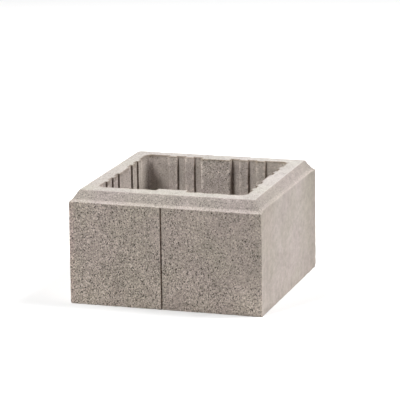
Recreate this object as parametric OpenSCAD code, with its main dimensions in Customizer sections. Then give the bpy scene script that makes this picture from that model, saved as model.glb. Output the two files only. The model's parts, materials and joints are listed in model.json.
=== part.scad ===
// Hollow fence pillar block, cast in concrete as one piece.
// The origin is the middle of the underside. +Z is up, and the jointed front faces -Y.

/* [Block] */
// Side of the square outline
block_side = 380; // [320:1:480]
// Overall height
block_h = 220; // [150:1:300]

/* [Top edge] */
// How far the shallow shoulder leans in at the top of the outer faces
shoulder_in = 6; // [3:0.5:8]
// How much the shoulder rises
shoulder_rise = 4.5; // [3:0.5:8]
// How far the steeper bevel above the shoulder leans in
bevel_in = 11; // [6:0.5:14]
// How much the bevel rises
bevel_rise = 17; // [8:0.5:24]

/* [Walls] */
// Thickness of the left and right walls between their ribs
side_wall_t = 44.5; // [32:0.5:50]
// Thickness of the back wall between its ribs
back_wall_t = 44.5; // [32:0.5:60]
// Thickness of the front wall between its ribs
front_wall_t = 47.5; // [32:0.5:60]
// Radius of the cavity's upright corners
cavity_corner_r = 15; // [5:1:25]

/* [Ribs in the cavity] */
// Width of the raised panel in the middle of each wall
panel_w = 63; // [40:1:80]
// How far the panels of the front and back walls stand proud
panel_proud = 13; // [4:0.5:20]
// How far the panels of the side walls stand proud
side_panel_proud = 4; // [2:0.5:12]
// Width of each narrow rib
rib_w = 21; // [12:1:30]
// Recess left between neighbouring ribs
rib_gap = 14; // [10:1:24]
// How far the narrow ribs of the back wall stand proud
rib_proud = 5.5; // [3:0.5:12]
// How far the narrow ribs of the side walls stand proud
side_rib_proud = 4; // [2:0.5:12]
// How far the narrow ribs of the front wall stand proud
front_rib_proud = 2.5; // [1:0.5:12]
// How far each flank of a rib or panel leans in towards its top
flank_lean = 1; // [0:0.5:3]

/* [Front joint] */
// Width of the upright dummy joint in the front
joint_w = 3; // [2:0.5:8]
// How far the joint lies to the left of the front's middle
joint_left = 7; // [0:0.5:40]
// Depth of the dummy joint
joint_d = 5; // [2:0.5:12]

/* [Hidden] */

// Extra length by which a cut runs past the faces that it opens
cut_over = 10;
// How far a rib's root runs into the wall that carries it
root_over = 3;
// Segments of a full circle
round_fn = 64;

half_side = block_side / 2;
// Height of the upright outer faces
side_h = block_h - bevel_rise - shoulder_rise;

// The cavity's width, and its length from the front wall to the back wall
cavity_w = block_side - 2 * side_wall_t;
cavity_l = block_side - back_wall_t - front_wall_t;

// One entry for each wall of the cavity: its turn about the upright axis, its distance from
// that axis, and how far its panel and its ribs stand proud
WALLS = [
    [0, half_side - back_wall_t, panel_proud, rib_proud],
    [90, half_side - side_wall_t, side_panel_proud, side_rib_proud],
    [180, half_side - front_wall_t, panel_proud, front_rib_proud],
    [270, half_side - side_wall_t, side_panel_proud, side_rib_proud]
];

rib_pitch = rib_w + rib_gap;
// Straight stretch of wall between the middle of the block and the nearest corner radius
rib_reach = half_side - max(side_wall_t, back_wall_t, front_wall_t) - cavity_corner_r;
ribs_each_way = floor((rib_reach - panel_w / 2) / rib_pitch);
// Middles of the ribs, left and right of a wall's panel
rib_middles = [
    for (side = [-1, 1], i = [1 : 1 : ribs_each_way])
        side * (panel_w / 2 + i * rib_pitch - rib_w / 2)
];

// Outline of the block seen square on, with the shoulder and the bevel on both sides
module side_profile() {
    shoulder_top = side_h + shoulder_rise;
    shoulder_x = half_side - shoulder_in;
    rim_x = shoulder_x - bevel_in;
    polygon([
        [-half_side, 0],
        [half_side, 0],
        [half_side, side_h],
        [shoulder_x, shoulder_top],
        [rim_x, block_h],
        [-rim_x, block_h],
        [-shoulder_x, shoulder_top],
        [-half_side, side_h]
    ]);
}

// Solid block with the shoulder and the bevel on all four sides
module outer_body() {
    intersection() {
        rotate([90, 0, 0])
            linear_extrude(block_side, center = true) side_profile();
        rotate([90, 0, 90])
            linear_extrude(block_side, center = true) side_profile();
    }
}

// Plan of the cavity without its ribs: a rectangle with round corners
module cavity_plan() {
    r = cavity_corner_r;
    translate([side_wall_t - half_side, front_wall_t - half_side]) {
        translate([r, 0]) square([cavity_w - 2 * r, cavity_l]);
        translate([0, r]) square([cavity_w, cavity_l - 2 * r]);
        for (x = [r, cavity_w - r], y = [r, cavity_l - r])
            translate([x, y]) circle(r, $fn = round_fn);
    }
}

// Plan of one rib on a wall whose face is the X axis, standing proud towards -Y
module rib_plan(width, proud) {
    polygon([
        [-width / 2, root_over],
        [-width / 2, 0],
        [-width / 2 + flank_lean, -proud],
        [width / 2 - flank_lean, -proud],
        [width / 2, 0],
        [width / 2, root_over]
    ]);
}

// Plan of the panel and the ribs of one wall
module ribs_plan(panel_out, rib_out) {
    rib_plan(panel_w, panel_out);
    for (x = rib_middles)
        translate([x, 0]) rib_plan(rib_w, rib_out);
}

// Places its children on one wall of the cavity
module on_wall(wall) {
    rotate(wall[0]) translate([0, wall[1]]) children();
}

// Plan of the finished cavity
module ribbed_cavity_plan() {
    difference() {
        cavity_plan();
        for (wall = WALLS)
            on_wall(wall) ribs_plan(wall[2], wall[3]);
    }
}

// Upright slot down the front face, from the shoulder to the underside
module front_joint() {
    translate([-joint_left - joint_w / 2, -half_side - cut_over, -cut_over])
        cube([joint_w, joint_d + cut_over, side_h + cut_over]);
}

module pillar_block() {
    color([0.64, 0.6, 0.56])
        difference() {
            outer_body();
            translate([0, 0, -cut_over])
                linear_extrude(block_h + 2 * cut_over) ribbed_cavity_plan();
            front_joint();
        }
}

pillar_block();
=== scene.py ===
"""The look of a hollow fence pillar block, cast in grey concrete.

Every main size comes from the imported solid: its plan is read by slicing it and its levels from its
corners. One closed mesh with worn arrises, open pores, mould marks and chips stands for it.
"""

import json
import math
from types import SimpleNamespace

import bpy
import numpy as np
from mathutils import Matrix, Vector, geometry, kdtree

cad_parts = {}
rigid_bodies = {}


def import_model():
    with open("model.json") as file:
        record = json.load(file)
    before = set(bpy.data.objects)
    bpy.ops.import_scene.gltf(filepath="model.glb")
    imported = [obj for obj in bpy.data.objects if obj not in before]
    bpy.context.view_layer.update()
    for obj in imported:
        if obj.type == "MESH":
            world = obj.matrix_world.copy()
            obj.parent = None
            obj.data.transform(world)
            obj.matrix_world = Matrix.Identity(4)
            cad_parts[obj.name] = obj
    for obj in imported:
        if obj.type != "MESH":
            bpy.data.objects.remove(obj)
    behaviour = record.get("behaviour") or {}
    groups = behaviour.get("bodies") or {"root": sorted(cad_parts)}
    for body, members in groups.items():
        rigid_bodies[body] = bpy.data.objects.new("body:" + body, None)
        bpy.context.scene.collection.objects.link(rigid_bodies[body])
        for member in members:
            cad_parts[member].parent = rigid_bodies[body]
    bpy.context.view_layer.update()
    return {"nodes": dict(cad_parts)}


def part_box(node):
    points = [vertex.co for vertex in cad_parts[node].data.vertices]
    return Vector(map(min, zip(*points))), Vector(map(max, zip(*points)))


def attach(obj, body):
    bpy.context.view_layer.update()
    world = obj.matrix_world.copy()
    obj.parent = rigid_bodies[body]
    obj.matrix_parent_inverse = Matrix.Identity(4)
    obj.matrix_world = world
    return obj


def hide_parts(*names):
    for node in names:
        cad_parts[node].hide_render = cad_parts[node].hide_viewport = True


MM = 0.001
NODE = "pillar_block"
PIECE = "fence_block_concrete"
# Places nearer to each other than this are the same place, and the decimals of a metre that count
SAME = 1e-5
DECIMALS = 6

# ---- mesh ----
# Distance between columns on the front, right, back and left faces, in the joint and in the cavity
SIDE_STEP = [1.75 * MM, 2.8 * MM, 3.6 * MM, 3.6 * MM]
JOINT_STEP = 1.2 * MM
CAVITY_STEP = 4.2 * MM
# Distance between rows on the outer faces, near the cavity's mouth and deeper in it, and how deep
# the near ones go
OUTER_ROW = 2.1 * MM
MOUTH_ROW = 4.0 * MM
DEEP_ROW = 10.0 * MM
MOUTH_DEPTH = 84 * MM
# Rim and bed: distance between points, and seed of their jitter
RIM_NET = (2.8 * MM, 11)
BED_NET = (6.0 * MM, 12)
# In steps: how far a point of the rim or bed may be off its place, and how near it comes to an edge
JITTER = 0.28
EDGE_CLEAR = 0.6
# Points of the rim or bed nearer than this are joined when it is divided into triangles
NET_SLACK = 1e-7
# Radii of the arrises: upright corners, level edges, ribs, panels, joint and the cavity's mouth
CORNER_R = 1.3 * MM
EDGE_R = 1.1 * MM
RIB_R = 2.6 * MM
PANEL_R = 4.2 * MM
JOINT_R = 0.5 * MM
MOUTH_R = 1.4 * MM
# Parts that an upright arris and a level one are divided into
ARC_STEPS = 3
EDGE_ARC_STEPS = 2
# The most that a rounded corner takes of the runs beside it
MOST_OF_RUN = 0.4
# The mouth is rounded by two flats, which meet at this share of its radius in and down
MOUTH_BEND = 0.3
# The front ribs' arrises are tighter than the mouth's rounding, so it loses this share on them
FRONT_MOUTH_LOSS = 0.5
# The joint ends this many edge radii under the shoulder
JOINT_STOP = 1.2
# Distance of the columns kept close beside the sharp foot of a rib or panel
FOOT_STEP = 0.9 * MM
# How far the bed and the rim run in from the arris before their open net starts
FLAT_RUN = 2.5 * MM
# Runs of the plan: a face's are longer than the first, a panel than the second, a flank than the third
FACE_MIN = 30 * MM
PANEL_MIN = 40 * MM
FLANK_MIN = 2 * MM
# The sine of the smallest turn that counts as a corner, and the cosine at which a mitre stops growing
CORNER_SINE = 0.002
MITRE_MIN = 0.6

# ---- which part of the block a point is on ----
# How far off an arris or a flank a column may stand, and past a flank's ends as a share of it
ARRIS_SLACK = 0.2 * MM
FLANK_SLACK = 0.05 * MM
END_SLACK = 0.02
# A flank longer than this is the front or back panel's
DEEP_FLANK = 10 * MM
# A point this far proud of the wall is on a panel
PANEL_PROUD = 8 * MM
# The joint's painted shade is full at this depth
JOINT_DEEP = 5 * MM
# How squarely a normal points forwards, or up or down, to count a little and fully as facing that way
FACES_FRONT = (0.45, 0.9)
FACES_UP = (0.2, 0.5)
# The front is finer towards its top and its right: the heights where that starts and is full, how
# much lower they are further right, where it starts and is full along the front, and how smooth it is
FINER_UP = (75 * MM, 120 * MM)
FINER_TILT = 0.3
FINER_ALONG = (-150 * MM, -110 * MM)
FINER = 0.6

# ---- seeded noise: the size of its features, along X, Y and Z where they differ, and its seed ----
# It repeats after TABLE features
TABLE = 64
NOISE = {
    "swell": (46 * MM, 1),
    "grit": (2.4 * MM, 2),
    "big_grit": (4.1 * MM, 3),
    "pore": (3.3 * MM, 4),
    "pore_patch": (21 * MM, 5),
    "streak": (np.array([3.2, 3.2, 60.0]) * MM, 6),
    "chip": (5.2 * MM, 7),
    "chip_patch": (17 * MM, 8),
    "broken": (3.0 * MM, 9),
    "mouth_band": (np.array([14, 14, 9]) * MM, 10),
    "crumbled": (np.array([9, 9, 6]) * MM, 13),
    "joint_patches": (4.5 * MM, 14),
    "smooth_patch": (25 * MM, 15),
}

# ---- relief, all of it into the concrete ----
# Depth of the slow swell, of grit on the front and elsewhere, of pores, of the cavity's mould streaks
# and of the wear on arrises
SWELL = 0.22 * MM
GRIT_FRONT = 0.34 * MM
GRIT_PLAIN = 0.07 * MM
PORE_FRONT = 1.1 * MM
STREAK = 0.16 * MM
WEAR = 0.7 * MM
# An arris is fully worn up to the first distance from it, and not at all from the second on
WORN_REACH = (0.3 * MM, 3.2 * MM)
# The joint's arrises are worn as if this much further away
JOINT_SPARED = 1.2 * MM
# Values of the noise from which pores, chips and smooth patches start and are full
PORE_FROM = (0.42, 0.8)
CHIP_FROM = (0.25, 0.9)
SMOOTH_FROM = (0.05, 0.7)
# Coarseness from which the relief's pores get painted shade and dirt at all, and fully
PORE_SHOWN = (0.05, 0.8)
# How much of the grit is big grit, and how much the pores and the chips come in patches
BIG_GRIT = 0.4
PORE_PATCHY, CHIP_PATCHY = 0.35, 0.5
# How coarse each part is, from 0 to 1, and how that changes from the front's middle to its right
COARSE = SimpleNamespace(
    front=0.93,
    front_rightwards=-0.16,
    front_slopes=0.52,
    panel_top=0.75,
    bay=0.4,
    panel=0.2,
    plain=0.1,
    slopes=0.32,
)
# The share of it that a smooth patch loses, and how deep the coarse top of a panel ends and is full
SMOOTHED = 0.42
PANEL_TOP = (45 * MM, 30 * MM)
# How mottled the cavity is, and the least that any part is
MOTTLED_BAY, MOTTLED_MIN = 0.45, 0.4
# Painted shade in the joint: how dark it is, how much less towards its top, how uneven, and the height
# where that lessening starts
JOINT_DARK, JOINT_SHADE_LIFT, JOINT_SHADE_NOISE = 0.9, 0.75, 0.6
SHADE_LIFT_FROM = 90 * MM

# ---- how far the cast shoulder and the foot of the bevel stand off their true levels ----
# Each at the left and right ends of the front, then at the front and back ends of the right face
SHOULDER_OFF = ((0.9 * MM, -1.0 * MM), (4.4 * MM, 2.2 * MM))
BEVEL_FOOT_OFF = ((0.9 * MM, -0.9 * MM), (3.5 * MM, 2.6 * MM))
# It starts this far under the shoulder, fades out before the back of the right face and behind the
# front of the left one, and turns from the front's to the right face's over the last distance
OFF_BELOW = 30 * MM
OFF_FADE_BACK = 45 * MM
OFF_FADE_LEFT = 60 * MM
OFF_TURN = 14 * MM
# How far the front left corner leans in at the shoulder, and how far along both faces it fades
CORNER_LEAN = 0.9 * MM
LEAN_REACH = 70 * MM

# ---- chips ----
# Place, as shares of the half width along X and Y and of the shoulder's height, how far from there
# along X and Y, way out of the concrete, depth and reach
CHIPS = [
    ((1, 1, 0), (0, 0), (1, 1, -1), 6.5 * MM, 15 * MM),
    ((1, 1, 0), (0, -20 * MM), (1, 0, -1), 1.6 * MM, 14 * MM),
    ((-1, -1, 0), (0, 0), (-1, -1, -1), 2.0 * MM, 7 * MM),
    ((-1, -1, 0), (28 * MM, 0), (0, -1, -1), 1.2 * MM, 8 * MM),
    ((0, -1, 0), (-20 * MM, 0), (0, -1, -1), 1.3 * MM, 9 * MM),
    ((0, -1, 0), (4 * MM, 0), (0, -1, -1), 1.7 * MM, 8 * MM),
    ((0, -1, 0), (75 * MM, 0), (0, -1, -1), 1.1 * MM, 12 * MM),
    ((1, -1, 0), (0, 0), (1, -1, -1), 1.4 * MM, 6 * MM),
    ((1, -1, 1), (0, 0), (1, -1, 1), 1.3 * MM, 6 * MM),
    ((-1, -1, 1), (0, 0), (-1, -1, 0.5), 2.6 * MM, 10 * MM),
]
# How uneven their floors are, as a share of their depth
CHIP_ROUGH = 0.18

# ---- colour of the concrete in linear light, before its grain ----
ROUGH_HUE = (1.0, 0.86, 0.74)
PLAIN_HUE = (1.0, 0.88, 0.795)
STAINED_HUE = (1.0, 0.865, 0.775)
PALE_HUE = (1.0, 0.925, 0.85)
# Hue and lightness of each face: partly the finish of its concrete, partly painted light and shade by how
# much light falls on it
FACES = {
    "front": (ROUGH_HUE, 0.274),
    "front_shoulder": (PLAIN_HUE, 0.37),
    "front_bevel": (PLAIN_HUE, 0.3),
    "side": (PLAIN_HUE, 0.285),
    "side_shoulder": (PLAIN_HUE, 0.288),
    "side_bevel": (PLAIN_HUE, 0.258),
    "rim": (PALE_HUE, 0.372),
    "bay": (PLAIN_HUE, 0.4),
    "side_bay": (STAINED_HUE, 0.315),
    "panel": (PLAIN_HUE, 0.385),
}
# The shoulder and the rim start this far under their edges
EDGE_SLACK = 0.2 * MM

# ---- marks on the faces, painted light and shade among them: how much lighter, or darker where negative, with its tint and its reach ----
# The front: painted light from the floor at the ground, with how fast that fades, then all over, at its
# right edge and where smooth
FRONT_FOOT, FRONT_FOOT_POWER = 0.4, 4
FRONT_ALL, FRONT_RIGHT, FRONT_SMOOTH = -0.03, -0.03, -0.07
# The front's left edge: how far in the paler strip is full and ends
STRIP_REACH = (7 * MM, 13 * MM)
STRIP_TINT = (0.1, 0.06, 0.07)
# The right face: painted light from the floor at its foot, and what is added up to its shoulder, painted
# shade at the top. Its marks start over RIGHT_EDGE
RIGHT_FOOT, RIGHT_UP = 0.13, -0.22
RIGHT_EDGE = 6 * MM
# The damp at its back: where it starts and is full, from the back, and what is added up to the top
DAMP_REACH = (130 * MM, 20 * MM)
DAMP_FOOT, DAMP_UP = -0.1, -0.16
DAMP_TINT = (1.0, 1.0, 1.15)
# The lime at its front: where it starts to fade and ends, from the front, and what is added up to the top
LIME_REACH = (50 * MM, 100 * MM)
LIME_FOOT, LIME_UP = -0.01, -0.06
LIME_TINT = (1.0, 1.1, 1.6)
# The bevel over the right face, from the damp's start to the back
BEVEL_DULL = -0.08
# The rim's painted light, towards the right and the back
RIM_TINT = (0.025, 0.025, 0.04)
# The darker, browner band in the mouth: how deep it starts to fade and ends, and how much deeper in its
# patches, how dark it is, and how much darker in its patches, and what the side walls lack of it
BAND_FROM, BAND_FADE, BAND_PATCH = 2 * MM, 4 * MM, 5 * MM
BAND_DARK, BAND_PATCHY, BAND_SIDE = -0.33, -0.25, 0.4
BAND_NOISE = (-0.5, 0.6)
BAND_TINT = (1.0, 1.06, 1.18)
# The side walls, darker down to a set depth, the other walls, and the panels with what they lose deeper
SIDE_DARK, SIDE_DARK_REACH = -0.02, (12 * MM, 20 * MM)
WALL_PALE, WALL_REACH = 0.13, (13 * MM, 19 * MM)
PANEL_PALE, PANEL_LESS, PANEL_REACH = 0.13, 0.11, (15 * MM, 50 * MM)
# The painted highlight on the ribs' arrises where they aren't crumbled, values of the noise from which
# they start to be crumbled and are, and the share of a flank's painted shade that is lost there
ARRIS_HIGHLIGHT = 0.34
CRUMBLED_NOISE = (-0.35, 0.35)
CRUMBLED_FLANK = 0.2
# Painted shade on a panel's flanks and on a rib's: the light lost, with its tint
PANEL_SHADE, RIB_SHADE = 0.25, 0.52
FLANK_TINT = (1.0, 1.09, 1.17)
# The joint's tint
JOINT_TINT = (0.12, 0.0, -0.08)

# ---- grain of the material ----
# How far specks, streaks and mottle are squeezed along X, Y and Z
DRAWN_OUT = ((1.2, 1.2, 0.85), (1.0, 1.0, 0.06), (0.75, 0.75, 1.0))
CELL_SCALE = 520.0
# Scale, detail and roughness of each pattern
GRAIN, FINE, STREAKS = (520.0, 2.0, 0.6), (1100.0, 2.0, 0.6), (120.0, 2.0, 0.5)
MOTTLE, BLOTCH, TINGE = (90.0, 5.0, 0.7), (17.0, 4.0, 0.6), (11.0, 2.0, 0.5)
# Values of the patterns between which pores fade out, light grains fade in and the tinge turns
PORE_RANGE, GRAIN_RANGE, TINGE_RANGE = (0.36, 0.45), (0.78, 0.95), (0.35, 0.65)
# How strongly each lightens the finest concrete and the coarsest, or darkens it where negative
CELLS_SHOW, PORES_SHOW, GRAINS_SHOW = (0.07, 0.55), (-0.08, -1.25), (0.03, 0.36)
# How strongly each shows on the most mottled concrete, and the blotches on the least and the most
STREAKS_SHOW, MOTTLE_SHOWS, BLOTCHES_SHOW = 0.08, 0.8, (0.28, 0.45)
# How much the relief's pores (painted shade and dirt in them), the joint (painted shade in it) and worn
# arrises lighten it, or darken it where negative
PORE_GAIN, JOINT_GAIN, WORN_GAIN = -0.3, -0.55, 0.14
TINGES = ((0.99, 1.003, 0.985, 1), (1.01, 0.997, 1.02, 1))
BUMP_STRENGTH, BUMP_DEPTH = 0.6, 0.6 * MM
CONCRETE_ROUGHNESS, CONCRETE_SPECULAR = 0.92, 0.25

# ---- studio ----
FLOOR_REACH, FLOOR_LIGHT = 30, 0.88
# The photograph's viewpoint: angles in radians, the lens and its sensor in millimetres, and how far
# back, aside and above the block's middle the camera stands, in metres
AZIMUTH, ELEVATION, ROLL = 0.3116, 0.2370, -0.01463
LENS_MM, SENSOR_MM = 235.47, 36.0
DISTANCE, ASIDE, ABOVE = 5.0728, 0.00896, 0.05723
FAR_CLIP = 200
# Soft panels: name, azimuth and elevation in degrees, distance, size and power in watts
PANELS = [
    ("key_front_left", 328, 42, 3.5, 1.3, 100),
    ("key_right", 110, 57, 3.5, 1.3, 130),
    ("fill_right", 110, 26, 3.2, 1.6, 76),
    ("fill_left", 270, 20, 3.5, 1.6, 112),
]


def plan_loops(node, height):
    """Closed plan outlines where the solid crosses a level plane, without points on straight runs."""
    mesh, links = node.data, {}
    for face in mesh.polygons:
        corners = [mesh.vertices[i].co for i in face.vertices]
        ends = []
        for a, b in zip(corners, corners[1:] + corners[:1]):
            if (a.z - height) * (b.z - height) < 0:
                p = a.lerp(b, (height - a.z) / (b.z - a.z))
                ends.append((round(p.x, DECIMALS), round(p.y, DECIMALS)))
        if len(ends) == 2 and ends[0] != ends[1]:
            links.setdefault(ends[0], []).append(ends[1])
            links.setdefault(ends[1], []).append(ends[0])
    loops = []
    while links:
        loop = [min(links)]
        while True:
            onward = [p for p in links.pop(loop[-1]) if p in links]
            if not onward:
                break
            loop.append(onward[0])
        loops.append(corners_only(np.array(loop)))
    return sorted(loops, key=lambda loop: -np.ptp(loop[:, 0]))


def turns(loop):
    """The lengths of the runs before and after each point of a loop, and its turn there, left positive."""
    before, after = loop - np.roll(loop, 1, 0), np.roll(loop, -1, 0) - loop
    turn = before[:, 0] * after[:, 1] - before[:, 1] * after[:, 0]
    return np.linalg.norm(before, axis=1), np.linalg.norm(after, axis=1), turn


def corners_only(loop):
    """The loop counter-clockwise, from its front left corner, with its straight runs emptied."""
    before, after, turn = turns(loop)
    loop = loop[np.abs(turn) > CORNER_SINE * before * after]
    area = np.sum(loop[:, 0] * np.roll(loop[:, 1], -1) - loop[:, 1] * np.roll(loop[:, 0], -1))
    if area < 0:
        loop = loop[::-1]
    return np.roll(loop, -int(np.argmin(loop.sum(1))), 0)


def rounded_path(points, radii, steps, arc_steps, closed):
    """Points along a path whose corners are rounded. Each run is divided by its own step.

    A negative radius keeps its corner sharp, with a point on each side of it.
    """
    count = len(points)
    starts, ends, out = {}, {}, []
    for i in range(count):
        if not closed and i in (0, count - 1):
            starts[i] = ends[i] = points[i]
            continue
        before, here, after = points[i - 1], points[i], points[(i + 1) % count]
        into, onto = here - before, after - here
        into_run, onto_run = np.linalg.norm(into), np.linalg.norm(onto)
        reach = min(abs(radii[i]), MOST_OF_RUN * into_run, MOST_OF_RUN * onto_run)
        starts[i] = here - into / into_run * reach
        ends[i] = here + onto / onto_run * reach
    for i in range(count):
        if radii[i] > 0 and (closed or i not in (0, count - 1)):
            for t in np.linspace(0, 1, arc_steps[i] + 1):
                out.append((1 - t) ** 2 * starts[i] + 2 * t * (1 - t) * points[i] + t**2 * ends[i])
        elif radii[i] < 0:
            out += [starts[i], points[i], ends[i]]
        else:
            out.append(points[i])
        if not closed and i == count - 1:
            break
        run = starts[(i + 1) % count] - ends[i]
        parts = max(1, math.ceil(np.linalg.norm(run) / steps[i]))
        out += [ends[i] + run * k / parts for k in range(1, parts)]
    return np.array(out)


def outward(loop):
    """Mitred outward direction at each point of a counter-clockwise loop."""
    edge = np.roll(loop, -1, 0) - loop
    normal = np.stack([edge[:, 1], -edge[:, 0]], 1) / np.linalg.norm(edge, axis=1)[:, None]
    both = normal + np.roll(normal, 1, 0)
    both /= np.linalg.norm(both, axis=1)[:, None]
    return both / np.maximum(MITRE_MIN, np.sum(both * normal, 1))[:, None]


def inside(points, loop):
    """Which of the points lie inside the loop."""
    x, y = points[:, 0], points[:, 1]
    found = np.zeros(len(points), bool)
    for a, b in zip(loop, np.roll(loop, -1, 0)):
        crosses = (a[1] > y) != (b[1] > y)
        with np.errstate(divide="ignore", invalid="ignore"):
            found ^= crosses & (x < (b[0] - a[0]) * (y - a[1]) / (b[1] - a[1]) + a[0])
    return found


def noise(name, points):
    """A smooth random field from -1 to 1 at each point, with the size and seed listed for the name."""
    cell, seed = NOISE[name]
    table = np.random.default_rng(seed).uniform(-1, 1, (TABLE,) * 3)
    where = points / cell
    base = np.floor(where).astype(int)
    part = where - base
    part = part * part * (3 - 2 * part)
    total = np.zeros(len(points))
    for corner in np.ndindex(2, 2, 2):
        weight = np.prod(np.where(corner, part, 1 - part), 1)
        total += weight * table[tuple(((base + corner) % TABLE).T)]
    return total


def ramp(value, low, high):
    """0 below low, 1 above high, smooth between."""
    t = np.clip((value - low) / (high - low), 0, 1)
    return t * t * (3 - 2 * t)


def net_between(outer, inner, height, step, seed):
    """Triangles of a level ring between two rows of points, with jittered points of its own."""
    rng = np.random.default_rng(seed)
    low, high = outer[:, :2].min(0), outer[:, :2].max(0)
    nx, ny = np.ceil((high - low) / step).astype(int)
    grid = np.stack(np.meshgrid(np.arange(nx), np.arange(ny)), -1).reshape(-1, 2).astype(float)
    # Every second row is half a step along
    grid[:, 0] += 0.5 * (grid[:, 1] % 2)
    grid += rng.uniform(-JITTER, JITTER, grid.shape)
    grid = low + grid * step
    edge = np.concatenate([outer[:, :2], inner[:, :2]])
    tree = kdtree.KDTree(len(edge))
    for i, p in enumerate(edge):
        tree.insert((*p, 0), i)
    tree.balance()
    clear = np.array([tree.find((*p, 0))[2] > EDGE_CLEAR * step for p in grid])
    grid = grid[clear & inside(grid, outer[:, :2]) & ~inside(grid, inner[:, :2])]
    flat = np.concatenate([edge, grid])
    n_out, n_in = len(outer), len(inner)
    rings = [(i, (i + 1) % n_out) for i in range(n_out)]
    rings += [(n_out + i, n_out + (i + 1) % n_in) for i in range(n_in)]
    made = geometry.delaunay_2d_cdt([Vector(p) for p in flat], rings, [], 0, NET_SLACK, True)
    source = [ids[0] if ids else -1 for ids in made[3]]
    faces = np.array([[source[i] for i in f] for f in made[2]])
    middles = flat[faces].mean(1)
    keep = inside(middles, outer[:, :2]) & ~inside(middles, inner[:, :2])
    return np.column_stack([grid, np.full(len(grid), height)]), faces[keep]


def band_faces(ids, flip):
    """Quads of a closed band, from the numbers of its points by row and column."""
    low, high = ids[:-1], ids[1:]
    quads = np.stack([low, np.roll(low, -1, 1), np.roll(high, -1, 1), high], -1).reshape(-1, 4)
    return (quads[:, ::-1] if flip else quads).tolist()


def read_solid(node):
    """The solid's levels with the half width at each, and its outer and inner plan."""
    height = np.array([v.co.z for v in node.data.vertices])
    half = np.array([abs(v.co.x) for v in node.data.vertices])
    levels = sorted(set(np.round(height, DECIMALS)))
    widths = [half[np.abs(height - z) < SAME].max() for z in levels]
    _, side_h, brow, top = levels
    sizes = SimpleNamespace(levels=levels, widths=widths, side=widths[0], side_h=side_h, brow=brow, top=top)
    outer_plan, inner_plan = plan_loops(node, side_h / 2)
    return sizes, outer_plan, inner_plan


def outer_skin(plan, sizes):
    """Rows of points up the outside, how deep in the joint each lies, and the joint's two sides."""
    side = sizes.side
    # The joint's corners are those off the four corners of the square
    at_corner = np.abs(plan).min(1) > side - SAME
    radii = np.where(at_corner, CORNER_R, JOINT_R)
    steps = []
    for i, here in enumerate(plan):
        run = np.linalg.norm(plan[(i + 1) % len(plan)] - here)
        face = int(at_corner[: i + 1].sum()) - 1
        steps.append(SIDE_STEP[face] if run > FACE_MIN else JOINT_STEP)
    ring = rounded_path(plan, radii, steps, [ARC_STEPS] * len(plan), True)
    mouth = plan[~at_corner, 0]
    joint = (mouth.min() - JOINT_R, mouth.max() + JOINT_R)
    in_joint = (ring[:, 0] > joint[0] - SAME) & (ring[:, 0] < joint[1] + SAME) & (ring[:, 1] < 0)
    # The same columns on a plain square, for the rows above the joint
    plain = ring.copy()
    plain[in_joint, 0] = np.linspace(*joint, in_joint.sum())
    plain[in_joint, 1] = -side

    # Rows from the bed over the arris, the shoulder and the bevel to the rim: inset and height
    corners = [(side - w, z) for w, z in zip(sizes.widths, sizes.levels)]
    rows = rounded_path(
        np.array([(FLAT_RUN, 0), *corners, (corners[-1][0] + FLAT_RUN, sizes.top)]),
        [0, *[EDGE_R] * len(corners), 0],
        [FLAT_RUN, OUTER_ROW, OUTER_ROW, OUTER_ROW, FLAT_RUN],
        [0, *[EDGE_ARC_STEPS] * len(corners), 0],
        False,
    )
    jointed = rows[:, 1] < sizes.side_h - JOINT_STOP * EDGE_R
    skin = []
    for (inset, z), has_joint in zip(rows, jointed):
        base = ring if has_joint else plain
        skin.append(np.column_stack([base * (side - inset) / side, np.full(len(base), z)]))
    depth = np.clip((ring[:, 1] + side) / JOINT_DEEP, 0, 1) * in_joint
    return np.array(skin), np.outer(jointed, depth), joint


def cavity_skin(plan, sizes):
    """Rows of points up the cavity, and its columns' marks: on a rounded arris, and painted shade on a
    flank.
    """
    before, after, turn = turns(plan)
    at_edge, at_foot = turn < 0, (turn > 0) & (np.minimum(before, after) > FLANK_MIN)
    # The ribs' and panels' own edges are rounded, their feet stay sharp
    edge_r = np.where(np.maximum(before, after) > PANEL_MIN, PANEL_R, RIB_R)
    radii = np.where(at_edge, edge_r, np.where(at_foot, -FOOT_STEP, 0))
    bore = rounded_path(plan, radii, [CAVITY_STEP] * len(plan), [ARC_STEPS] * len(plan), True)
    arris, flank = rib_marks(bore, plan, at_edge, at_foot)
    on_front = np.abs(bore[:, 0]) < -bore[:, 1]
    away = outward(bore) * (1 - FRONT_MOUTH_LOSS * arris * on_front)[:, None]

    deep_top, bend = sizes.top - MOUTH_DEPTH, MOUTH_BEND * MOUTH_R
    deep = np.linspace(MOUTH_R, deep_top, math.ceil(deep_top / DEEP_ROW))
    near = np.linspace(deep_top, sizes.top - MOUTH_R, math.ceil(MOUTH_DEPTH / MOUTH_ROW))
    rows = [(MOUTH_R, 0), (bend, bend)]
    rows += [(0, z) for z in (*deep, *near[1:])]
    rows += [(bend, sizes.top - bend), (MOUTH_R, sizes.top)]
    skin = np.array([np.column_stack([bore + away * t, np.full(len(bore), z)]) for t, z in rows])
    return skin, arris, flank


def rib_marks(bore, plan, at_edge, at_foot):
    """Which columns of the cavity lie on a rounded arris of a rib, and the painted shade on ribs' flanks.
    """
    arris, flank = np.zeros(len(bore)), np.zeros(len(bore))
    for i in range(len(plan)):
        k = (i + 1) % len(plan)
        if at_edge[i]:
            near = np.linalg.norm(bore - plan[i], axis=1)
            arris = np.maximum(arris, near < PANEL_R + ARRIS_SLACK)
        if (at_edge[i] and at_foot[k]) or (at_foot[i] and at_edge[k]):
            run = plan[k] - plan[i]
            length = np.linalg.norm(run)
            part = (bore - plan[i]) @ run / (run @ run)
            off = np.abs((bore - plan[i]) @ np.array([run[1], -run[0]])) / length
            on_flank = (off < FLANK_SLACK) & (part > -END_SLACK) & (part < 1 + END_SLACK)
            flank = np.maximum(flank, (PANEL_SHADE if length > DEEP_FLANK else RIB_SHADE) * on_flank)
    return arris * (flank == 0), flank


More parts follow.
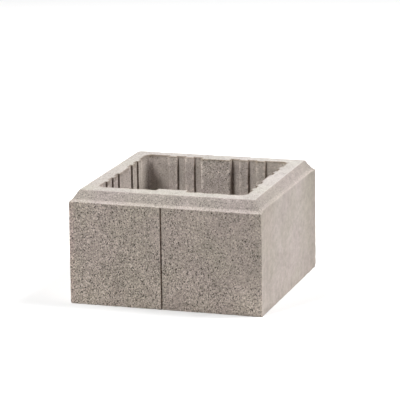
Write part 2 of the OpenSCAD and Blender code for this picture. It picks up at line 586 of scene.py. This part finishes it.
def build_block(node):
    """The closed mesh's points and faces, what each point is a part of, and the block's sizes."""
    sizes, outer_plan, inner_plan = read_solid(node)
    outer, in_joint, sizes.joint = outer_skin(outer_plan, sizes)
    inner, arris, flank = cavity_skin(inner_plan, sizes)
    n_outer, count = outer[..., 0].size, outer[..., 0].size + inner[..., 0].size
    outer_ids = np.arange(n_outer).reshape(outer.shape[:2])
    inner_ids = np.arange(n_outer, count).reshape(inner.shape[:2])
    points = [outer.reshape(-1, 3), inner.reshape(-1, 3)]
    faces = band_faces(outer_ids, False) + band_faces(inner_ids, True)
    for row, z, net in ((-1, sizes.top, RIM_NET), (0, 0.0, BED_NET)):
        own, tris = net_between(outer[row], inner[row], z, *net)
        ids = np.concatenate([outer_ids[row], inner_ids[row], np.arange(len(own)) + count])
        faces += ids[tris if row else tris[:, ::-1]].tolist()
        points.append(own)
        count += len(own)
    points = np.concatenate(points)

    def tag(on_outer, on_inner):
        """A value at each point of the outside and of the cavity, and 0 on the rim and the bed."""
        values = np.zeros(count)
        values[outer_ids] = on_outer
        values[inner_ids] = on_inner
        return values

    tags = SimpleNamespace(
        skin=tag(1, 0), bay=tag(0, 1), joint=tag(in_joint, 0), arris=tag(0, arris), flank=tag(0, flank)
    )
    x, y, z = points.T
    on_end = np.abs(x) < np.abs(y)
    back = inner_plan[:, 1].max()
    out = y * np.where(y < 0, 1 / inner_plan[:, 1].min(), 1 / back)
    tags.panel = tags.bay * on_end * (out < 1 - PANEL_PROUD / back)
    tags.side_bay = tags.bay * ~on_end
    finer = ramp(z + FINER_TILT * x, *FINER_UP) * ramp(x, *FINER_ALONG)
    tags.smoothed = np.maximum(ramp(noise("smooth_patch", points), *SMOOTH_FROM), FINER * finer)
    return points, faces, tags, sizes


def relief(points, normals, tags, sizes):
    """How far each point is pressed into the concrete, and what the material reads of it."""
    x, _, z = points.T
    front = ramp(-normals[:, 1], *FACES_FRONT) * tags.skin
    upright = 1 - ramp(np.abs(normals[:, 2]), *FACES_UP)
    swell = 0.5 + 0.5 * noise("swell", points)
    grit = (1 - BIG_GRIT) * noise("grit", points) + BIG_GRIT * noise("big_grit", points)
    pore = ramp(noise("pore", points) + PORE_PATCHY * noise("pore_patch", points), *PORE_FROM)
    streak = noise("streak", points)
    coarse = front * upright * (COARSE.front + COARSE.front_rightwards * x / sizes.side)
    coarse *= 1 - SMOOTHED * tags.smoothed
    coarse += COARSE.front_slopes * front * (1 - upright)
    panel_top, panel_full = (sizes.top - depth for depth in PANEL_TOP)
    coarse = np.maximum(coarse, COARSE.panel_top * tags.panel * ramp(z, panel_top, panel_full))
    coarse = np.maximum(coarse, COARSE.bay * tags.bay + COARSE.panel * tags.panel)
    coarse = np.maximum(coarse, COARSE.plain + COARSE.slopes * (1 - upright) * (1 - tags.bay))
    mottled = np.maximum(tags.skin * (1 - front) * upright + MOTTLED_BAY * tags.bay, MOTTLED_MIN)
    press = SWELL * swell
    press += (0.5 + 0.5 * grit) * (GRIT_PLAIN + (GRIT_FRONT - GRIT_PLAIN) * coarse)
    press += PORE_FRONT * pore * coarse
    press += STREAK * (0.5 + 0.5 * streak) * tags.bay
    lifted = JOINT_SHADE_LIFT * ramp(z, SHADE_LIFT_FROM, sizes.side_h)
    joint_shade = tags.joint * (JOINT_DARK - lifted + JOINT_SHADE_NOISE * noise("joint_patches", points))
    worn = edge_nearness(points, sizes)
    chips = ramp(noise("chip", points) + CHIP_PATCHY * noise("chip_patch", points), *CHIP_FROM)
    press += WEAR * worn * chips
    pore *= ramp(coarse, *PORE_SHOWN)
    return press, {"coarse": coarse, "pore": pore, "worn": worn, "joint_shade": joint_shade, "mottled": mottled}


def lighter(amount, tint=(1.0, 1.0, 1.0)):
    """The factor that lightens each point by its amount times the tint, or darkens it where negative."""
    return 1 + amount[:, None] * np.array(tint)


def cast_colour(points, tags, sizes):
    """The colour of the concrete at each point, by the face that it lies on and the marks there, painted
    light and shade among them.
    """
    x, y, z = points.T
    side, up, deep = sizes.side, z / sizes.side_h, sizes.top - z
    on_skin, in_bay = tags.skin > 0, tags.bay > 0
    facing = np.where((-y > np.abs(x)) & on_skin, "front", "side")
    part = np.where(z < sizes.side_h - EDGE_SLACK, "", np.where(z < sizes.brow, "_shoulder", "_bevel"))
    zone = np.char.add(facing, np.where(on_skin, part, ""))
    zone[(z > sizes.top - EDGE_SLACK) & ~in_bay] = "rim"
    zone[in_bay] = "bay"
    zone[tags.side_bay > 0] = "side_bay"
    zone[tags.panel > 0] = "panel"
    colour = np.array([np.multiply(*FACES[name]) for name in zone])

    front = (zone == "front") * 1.0
    on_right = ramp(x - np.abs(y), -RIGHT_EDGE, 0.0) * on_skin
    right_face = (zone == "side") * on_right
    # The front and the right face are paler towards the ground, with light from the floor painted on
    floor_glow = FRONT_FOOT * (1 - up) ** FRONT_FOOT_POWER
    colour *= lighter(front * (floor_glow + FRONT_ALL + FRONT_RIGHT * x / side))
    colour *= lighter(front * FRONT_SMOOTH * tags.smoothed)
    colour *= lighter(right_face * (RIGHT_FOOT + RIGHT_UP * up))
    # A damp stain down the right face towards the back, strongest at the top
    damp_from, damp_full = (side - reach for reach in DAMP_REACH)
    colour *= lighter(right_face * ramp(y, damp_from, damp_full) * (DAMP_FOOT + DAMP_UP * up), DAMP_TINT)
    # Lime has yellowed the right face beside its front arris, and the bevel above it dulls backwards
    lime_full, lime_end = (reach - side for reach in LIME_REACH)
    limed = right_face * (1 - ramp(y, lime_full, lime_end))
    colour *= lighter(limed * (LIME_FOOT + LIME_UP * up), LIME_TINT)
    colour *= lighter((zone == "side_bevel") * on_right * BEVEL_DULL * ramp(y, damp_from, side))
    # A paler strip up the front's left edge
    colour *= lighter(front * (1 - ramp(x + side, *STRIP_REACH)), STRIP_TINT)
    # Painted light makes the rim palest at the right and at the back, nearest the lamps there
    colour *= lighter((zone == "rim") * (x + y) / side, RIM_TINT)
    # Inside, a darker, browner band lines the mouth, and the side walls are darker down to a set depth
    patchy = ramp(noise("mouth_band", points), *BAND_NOISE)
    near_mouth = 1 - ramp(deep, BAND_FROM, BAND_FADE + BAND_PATCH * patchy)
    mouth_band = in_bay * near_mouth * (BAND_DARK + BAND_PATCHY * patchy)
    mouth_band *= 1 - BAND_SIDE * tags.side_bay
    side_dark = tags.side_bay * (1 - ramp(deep, *SIDE_DARK_REACH)) * SIDE_DARK
    colour *= lighter(mouth_band + side_dark, BAND_TINT)
    colour *= lighter((zone == "bay") * (1 - ramp(deep, *WALL_REACH)) * WALL_PALE)
    colour *= lighter((zone == "panel") * (PANEL_PALE - PANEL_LESS * ramp(deep, *PANEL_REACH)))
    # The ribs' rounded arrises get a painted highlight, which also stands for paler worn cement, except
    # where they are crumbled here and there
    crumbled = ramp(noise("crumbled", points), *CRUMBLED_NOISE)
    colour *= lighter(tags.arris * ARRIS_HIGHLIGHT * (1 - crumbled))
    # Painted shade darkens their flanks and browns them. The joint is browner than the face
    colour *= lighter(-tags.flank * (1 - CRUMBLED_FLANK * crumbled), FLANK_TINT)
    colour *= lighter(tags.joint, JOINT_TINT)
    return colour


def edge_nearness(points, sizes):
    """1 on an outer arris, falling to 0 some millimetres away."""
    x, y, z = np.abs(points[:, 0]), np.abs(points[:, 1]), points[:, 2]
    half = np.interp(z, sizes.levels, sizes.widths)
    furthest = np.maximum(x, y)
    corner = np.hypot(half - x, half - y)
    foot = np.hypot(half - furthest, z)
    shoulder = np.hypot(half - furthest, z - sizes.side_h)
    brow = np.hypot(sizes.widths[-1] - furthest, z - sizes.top)
    across = np.minimum.reduce([np.abs(points[:, 0] - edge) for edge in sizes.joint])
    # Above the side's height there is no joint, so a whole metre is added there
    joint = np.hypot(across, points[:, 1] + sizes.side) + JOINT_SPARED + (z > sizes.side_h)
    nearest = np.minimum.reduce([corner, foot, shoulder, brow, joint])
    return 1 - ramp(nearest, *WORN_REACH)


def break_chips(points, sizes):
    """The points with the chips broken out of the arrises."""
    rough = noise("broken", points)
    for corner, along, way, depth, reach in CHIPS:
        place = np.array(corner) * (sizes.side, sizes.side, sizes.side_h) + (*along, 0)
        n = np.array(way, float)
        n /= np.linalg.norm(n)
        rel = points - place
        out = rel @ n
        flat = np.linalg.norm(rel - out[:, None] * n, axis=1)
        over = out + depth * (1 - (flat / reach) ** 2) * (1 + CHIP_ROUGH * rough)
        points = points - np.where((over > 0) & (flat < reach), over, 0)[:, None] * n
    return points


def off_level(points, sizes):
    """How much higher than true each point of the casting's outer skin stands."""
    x, y, z = points.T
    side, side_h, brow, top = sizes.side, sizes.side_h, sizes.brow, sizes.top
    rise = np.zeros(len(points))
    low_ramp = ramp(z, side_h - OFF_BELOW, side_h)
    for (front, right), share in (
        (SHOULDER_OFF, low_ramp * np.interp(z, [side_h, brow], [1, 0])),
        (BEVEL_FOOT_OFF, np.interp(z, [side_h, brow, top], [0, 1, 0])),
    ):
        on_front = np.interp(x, [-side, side], front)
        on_right = np.interp(y, [-side, side], right) * (1 - ramp(y, side - OFF_FADE_BACK, side))
        on_right = front[1] + (on_right - front[1]) * ramp(y, -side, -side + OFF_TURN)
        on_left = front[0] * (1 - ramp(y, -side, -side + OFF_FADE_LEFT))
        off = np.where(-y > np.abs(x), on_front, np.where(x > np.abs(y), on_right, 0))
        off = np.where(-x > np.abs(y), on_left, off)
        rise += share * off
    return rise


def lean_in(points, sizes):
    """How far to the right of true each point near the front left corner stands."""
    x, y, z = points.T
    share = np.interp(z, [sizes.side_h / 2, sizes.side_h, sizes.top], [0, 1, 0])
    near = np.maximum(x, y) + sizes.side
    return CORNER_LEAN * share * (1 - ramp(near, 0.0, LEAN_REACH))


def make_mesh(name, points, faces):
    """A new mesh from points and faces."""
    mesh = bpy.data.meshes.new(name)
    mesh.from_pydata(points.tolist(), [], faces)
    mesh.update()
    return mesh


def place(name, data):
    """A new object in the scene."""
    made = bpy.data.objects.new(name, data)
    bpy.context.scene.collection.objects.link(made)
    return made


def block_piece(node):
    """The block's visible mesh, with the attributes that its material reads."""
    points, faces, tags, sizes = build_block(node)
    mesh = make_mesh("shaping", points, faces)
    normals = np.zeros(len(points) * 3, np.float32)
    mesh.vertex_normals.foreach_get("vector", normals)
    bpy.data.meshes.remove(mesh)
    normals = normals.reshape(-1, 3).astype(float)
    press, reads = relief(points, normals, tags, sizes)
    colour = cast_colour(points, tags, sizes)
    rise = off_level(points, sizes)
    points = points - normals * press[:, None]
    points[:, 0] += tags.skin * lean_in(points, sizes)
    points[:, 2] += tags.skin * rise
    points = break_chips(points, sizes)
    points[:, 2] = np.clip(points[:, 2], 0, sizes.top)
    mesh = make_mesh(PIECE, points, faces)
    mesh.polygons.foreach_set("use_smooth", [True] * len(mesh.polygons))
    for name, values in reads.items():
        mesh.attributes.new(name, "FLOAT", "POINT").data.foreach_set("value", values.astype(np.float32))
    colour = np.column_stack([colour, np.ones(len(colour))]).astype(np.float32)
    mesh.attributes.new("cast_colour", "FLOAT_COLOR", "POINT").data.foreach_set("color", colour.ravel())
    return place(PIECE, mesh)


class Shader:
    """A short way to write a material's node tree."""

    def __init__(self, name):
        self.material = bpy.data.materials.new(name)
        self.material.use_nodes = True
        self.tree = self.material.node_tree
        self.tree.nodes.clear()

    def add(self, kind, outlet=0, settings=(), **inputs):
        """A new node's output. Inputs go by name, with _ for a space, or by number, as in i0."""
        made = self.tree.nodes.new(kind)
        for name, value in dict(settings).items():
            setattr(made, name, value)
        for name, value in inputs.items():
            key = int(name[1:]) if name[1:].isdigit() else name.replace("_", " ")
            self.feed(made.inputs[key], value)
        return made.outputs[outlet]

    def feed(self, socket, value):
        """Links another node's output to the socket, or sets a plain value on it."""
        if isinstance(value, bpy.types.NodeSocket):
            self.tree.links.new(value, socket)
        else:
            socket.default_value = value

    def sums(self, operation, a, b=0.0, c=0.0):
        """The math node's operation on up to three numbers."""
        return self.add("ShaderNodeMath", settings={"operation": operation}, i0=a, i1=b, i2=c)

    def span(self, value, low, high, to_low, to_high):
        """to_low where the value is below low, to_high above high, smooth between."""
        smooth = {"interpolation_type": "SMOOTHSTEP"}
        return self.add("ShaderNodeMapRange", 0, smooth, i0=value, i1=low, i2=high, i3=to_low, i4=to_high)

    def mix(self, kind, factor, a, b):
        """Two colours mixed. A mix node has its colours at inputs 6 and 7 and at output 2."""
        colours = {"data_type": "RGBA", "blend_type": kind}
        return self.add("ShaderNodeMix", 2, colours, i0=factor, i6=a, i7=b)

    def read(self, name, outlet=2):
        """The mesh's attribute: a number, or a colour at outlet 0."""
        return self.add("ShaderNodeAttribute", outlet, {"attribute_name": name})

    def noise(self, where, scale, detail, roughness):
        """A noise pattern, read at these coordinates."""
        return self.add("ShaderNodeTexNoise", Vector=where, Scale=scale, Detail=detail, Roughness=roughness)

    def show(self, surface):
        """The finished material, with this surface."""
        self.feed(self.tree.nodes.new("ShaderNodeOutputMaterial").inputs["Surface"], surface)
        return self.material


def concrete():
    """The procedural material: the mesh's colour, painted light and shade included, times the tone and
    tinge of its grain.
    """
    s = Shader("concrete_cast")
    here = s.add("ShaderNodeTexCoord", 3)
    coarse, mottled = s.read("coarse"), s.read("mottled")
    speckled, streaked, upright = (s.add("ShaderNodeMapping", Vector=here, Scale=way) for way in DRAWN_OUT)
    grain, fine = s.noise(speckled, *GRAIN), s.noise(here, *FINE)
    cells = s.add("ShaderNodeTexVoronoi", 1, Vector=speckled, Scale=CELL_SCALE, Randomness=1.0)
    cell = s.add("ShaderNodeSeparateColor", Color=cells)

    def centred(pattern):
        return s.sums("SUBTRACT", pattern, 0.5)

    def by_grade(grade, shows):
        return s.span(grade, 0.0, 1.0, *shows)

    tone = 1.0
    for pattern, strength in (
        (centred(cell), by_grade(coarse, CELLS_SHOW)),
        (s.span(grain, *PORE_RANGE, 1.0, 0.0), by_grade(coarse, PORES_SHOW)),
        (s.span(cell, *GRAIN_RANGE, 0.0, 1.0), by_grade(coarse, GRAINS_SHOW)),
        (centred(s.noise(streaked, *STREAKS)), s.sums("MULTIPLY", mottled, STREAKS_SHOW)),
        (centred(s.noise(upright, *MOTTLE)), s.sums("MULTIPLY", mottled, MOTTLE_SHOWS)),
        (centred(s.noise(here, *BLOTCH)), by_grade(mottled, BLOTCHES_SHOW)),
        # Painted shade in the relief's pores and in the joint, and paler worn arrises
        (s.read("pore"), PORE_GAIN),
        (s.read("joint_shade"), JOINT_GAIN),
        (s.read("worn"), WORN_GAIN),
    ):
        tone = s.sums("MULTIPLY_ADD", pattern, strength, tone)
    tinge = s.mix("MIX", s.span(s.noise(here, *TINGE), *TINGE_RANGE, 0.0, 1.0), *TINGES)
    grey = s.add("ShaderNodeCombineColor", Red=tone, Green=tone, Blue=tone)
    colour = s.mix("MULTIPLY", 1.0, s.mix("MULTIPLY", 1.0, s.read("cast_colour", 0), tinge), grey)

    rough = s.sums("ADD", s.sums("MULTIPLY", grain, 0.5), s.sums("MULTIPLY", fine, 0.5))
    bump = s.add("ShaderNodeBump", Height=rough, Strength=BUMP_STRENGTH, Distance=BUMP_DEPTH)
    return s.show(
        s.add(
            "ShaderNodeBsdfPrincipled",
            Base_Color=colour,
            Roughness=CONCRETE_ROUGHNESS,
            Specular_IOR_Level=CONCRETE_SPECULAR,
            Normal=bump,
        )
    )


def pale_floor():
    """A wide pale floor under the block."""
    s = Shader("studio_floor")
    paint = (FLOOR_LIGHT, FLOOR_LIGHT, FLOOR_LIGHT, 1)
    corners = [(-1, -1, 0), (1, -1, 0), (1, 1, 0), (-1, 1, 0)]
    mesh = make_mesh("studio_floor", FLOOR_REACH * np.array(corners, float), [[0, 1, 2, 3]])
    mesh.materials.append(s.show(s.add("ShaderNodeBsdfDiffuse", Color=paint, Roughness=1.0)))
    return place("studio_floor", mesh)


def bearing(azimuth, elevation):
    """The direction from the block to a place at these angles, in radians. Azimuth 0 is the front."""
    level = math.cos(elevation)
    return Vector((math.sin(azimuth) * level, -math.cos(azimuth) * level, math.sin(elevation)))


def studio_camera(middle):
    """The scene's camera, at the photograph's viewpoint."""
    back = bearing(AZIMUTH, ELEVATION)
    right = Vector((math.cos(AZIMUTH), math.sin(AZIMUTH), 0))
    up = back.cross(right)
    c, s = math.cos(ROLL), math.sin(ROLL)
    right, up = right * c + up * s, up * c - right * s
    camera = place("studio_camera", bpy.data.cameras.new("studio_camera"))
    turn = Matrix((right, up, back)).transposed().to_4x4()
    camera.matrix_world = Matrix.Translation(middle + back * DISTANCE + right * ASIDE + up * ABOVE) @ turn
    camera.data.lens, camera.data.sensor_width = LENS_MM, SENSOR_MM
    camera.data.clip_end = FAR_CLIP
    bpy.context.scene.camera = camera


def studio_light(middle):
    """The soft panels around the block, and a world that adds no light of its own."""
    for name, azimuth, elevation, distance, size, power in PANELS:
        back = bearing(math.radians(azimuth), math.radians(elevation))
        light = bpy.data.lights.new(name, "AREA")
        light.shape, light.size, light.energy = "DISK", size, power
        panel = place(name, light)
        panel.rotation_mode = "QUATERNION"
        panel.location = middle + back * distance
        panel.rotation_quaternion = back.to_track_quat("Z", "Y")
    world = bpy.data.worlds.new("studio")
    world.use_nodes = True
    background = world.node_tree.nodes["Background"]
    background.inputs["Color"].default_value = (1, 1, 1, 1)
    background.inputs["Strength"].default_value = 0.0
    bpy.context.scene.world = world
    bpy.context.scene.view_settings.view_transform = "Standard"


for old in list(bpy.data.objects):
    bpy.data.objects.remove(old)
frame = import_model()
low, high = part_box(NODE)

block = block_piece(frame["nodes"][NODE])
block.data.materials.append(concrete())
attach(block, "root")
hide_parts(NODE)
pale_floor()

centre = (low + high) / 2
studio_camera(centre)
studio_light(centre)
